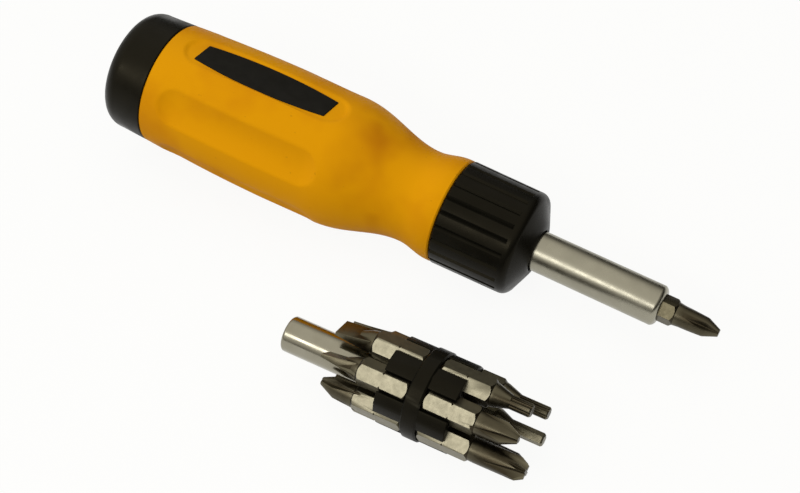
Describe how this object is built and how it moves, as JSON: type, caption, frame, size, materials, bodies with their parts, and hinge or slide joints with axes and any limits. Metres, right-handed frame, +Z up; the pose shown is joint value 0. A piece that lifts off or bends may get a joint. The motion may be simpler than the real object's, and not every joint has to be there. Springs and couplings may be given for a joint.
{
  "type": "ratcheting screwdriver",
  "caption": "Ratcheting screwdriver with a swelling scalloped grip, ribbed selector collar, round shank with a hexagon bit, and a separate bit carrier lying beside it.",
  "frame": {"origin": "on the bench, under the centre of the box that holds the tool and its carrier", "axes": "+X the way the nose points along the bench, +Z up, the carrier lies on the -Y side of the tool"},
  "size_m": [0.1748, 0.082, 0.0386],
  "materials": {
    "yellow_grip": "satin, softly textured",
    "black_plastic": "satin",
    "black_label": "matte",
    "seal_rubber": "matte",
    "zinc": "cast, machined bores",
    "hard_steel": "ground",
    "spring_steel": "blued",
    "bronze": "sintered",
    "chrome": "bright",
    "satin_nickel": "satin nickel plate",
    "magnet": "nickel plate",
    "tool_steel": "dark satin, bright flats"
  },
  "bodies": {
    "handle": {"handle": "yellow_grip", "label_inlay": "black_label", "ratchet_housing": "zinc", "collar_snap_ring": "spring_steel", "pawl_pins": "hard_steel", "pawl_leaf_spring": "spring_steel", "detent_spring": "spring_steel", "front_bushing": "bronze", "gear_washer": "bronze", "shank_washer": "hard_steel"},
    "cap": {"end_cap": "black_plastic", "cap_seal_ring": "seal_rubber"},
    "collar": {"selector_collar": "black_plastic"},
    "forward_pawl": {"forward_pawl": "hard_steel"},
    "reverse_pawl": {"reverse_pawl": "hard_steel"},
    "detent_ball": {"detent_ball": "hard_steel"},
    "shank": {"shank": "satin_nickel", "ratchet_gear": "hard_steel", "shank_circlip": "spring_steel", "bit_magnet": "magnet", "bit_snap_ring": "spring_steel"},
    "driver_bit": {"driver_bit": "tool_steel"},
    "carrier": {"bit_carrier": "black_plastic"},
    "sleeve": {"socket_sleeve": "chrome"},
    "slotted_phillips_bit": {"slotted_phillips_bit": "tool_steel"},
    "phillips_pozidriv_bit": {"phillips_pozidriv_bit": "tool_steel"},
    "slotted_small_phillips_bit": {"slotted_small_phillips_bit": "tool_steel"},
    "square_hex_bit": {"square_hex_bit": "tool_steel"},
    "slotted_small_torx_bit": {"slotted_small_torx_bit": "tool_steel"},
    "slotted_torx_bit": {"slotted_torx_bit": "tool_steel"}
  },
  "joints": [
    {"name": "cap_pull", "type": "slide", "parent": "handle", "child": "cap", "axis": [-0.9975, 0, 0.0703], "range_m": [0, 0.03]},
    {"name": "selector_turn", "type": "hinge", "parent": "handle", "child": "collar", "pos_m": [0.01284, 0.02287, 0.01542], "axis": [0.9975, 0, -0.0703], "range_deg": [0, 45]},
    {"name": "forward_pawl_tilt", "type": "hinge", "parent": "handle", "child": "forward_pawl", "pos_m": [0.01816, 0.01415, 0.01855], "axis": [0.9975, 0, -0.0703], "range_deg": [0, 9]},
    {"name": "reverse_pawl_tilt", "type": "hinge", "parent": "handle", "child": "reverse_pawl", "pos_m": [0.01816, 0.0316, 0.01855], "axis": [0.9975, 0, -0.0703], "range_deg": [0, 9]},
    {"name": "detent_press", "type": "slide", "parent": "handle", "child": "detent_ball", "axis": [-0.0703, 0, -0.9975], "range_m": [-0.0004, 0], "stiffness_N_per_m": 300},
    {"name": "shank_spin", "type": "hinge", "parent": "handle", "child": "shank", "pos_m": [0.01284, 0.02287, 0.01542], "axis": [0.9975, 0, -0.0703], "continuous": true},
    {"name": "bit_pull", "type": "slide", "parent": "shank", "child": "driver_bit", "axis": [0.9975, 0, -0.0703], "range_m": [0, 0.045]},
    {"name": "carrier_slide", "type": "slide", "parent": "handle", "child": "carrier", "axis": [0, -1, 0], "range_m": [0, 0.06]},
    {"name": "sleeve_pull", "type": "slide", "parent": "carrier", "child": "sleeve", "axis": [-1, 0, 0], "range_m": [0, 0.02]},
    {"name": "slotted_phillips_bit_pull", "type": "slide", "parent": "carrier", "child": "slotted_phillips_bit", "axis": [1, 0, 0], "range_m": [0, 0.032]},
    {"name": "phillips_pozidriv_bit_pull", "type": "slide", "parent": "carrier", "child": "phillips_pozidriv_bit", "axis": [1, 0, 0], "range_m": [0, 0.032]},
    {"name": "slotted_small_phillips_bit_pull", "type": "slide", "parent": "carrier", "child": "slotted_small_phillips_bit", "axis": [1, 0, 0], "range_m": [0, 0.032]},
    {"name": "square_hex_bit_pull", "type": "slide", "parent": "carrier", "child": "square_hex_bit", "axis": [1, 0, 0], "range_m": [0, 0.032]},
    {"name": "slotted_small_torx_bit_pull", "type": "slide", "parent": "carrier", "child": "slotted_small_torx_bit", "axis": [1, 0, 0], "range_m": [0, 0.032]},
    {"name": "slotted_torx_bit_pull", "type": "slide", "parent": "carrier", "child": "slotted_torx_bit", "axis": [1, 0, 0], "range_m": [0, 0.032]}
  ],
  "couplings": [
    {"joint": "forward_pawl_tilt", "follows": "selector_turn", "ratio": 0.2},
    {"joint": "reverse_pawl_tilt", "follows": "selector_turn", "ratio": 0.2}
  ]
}
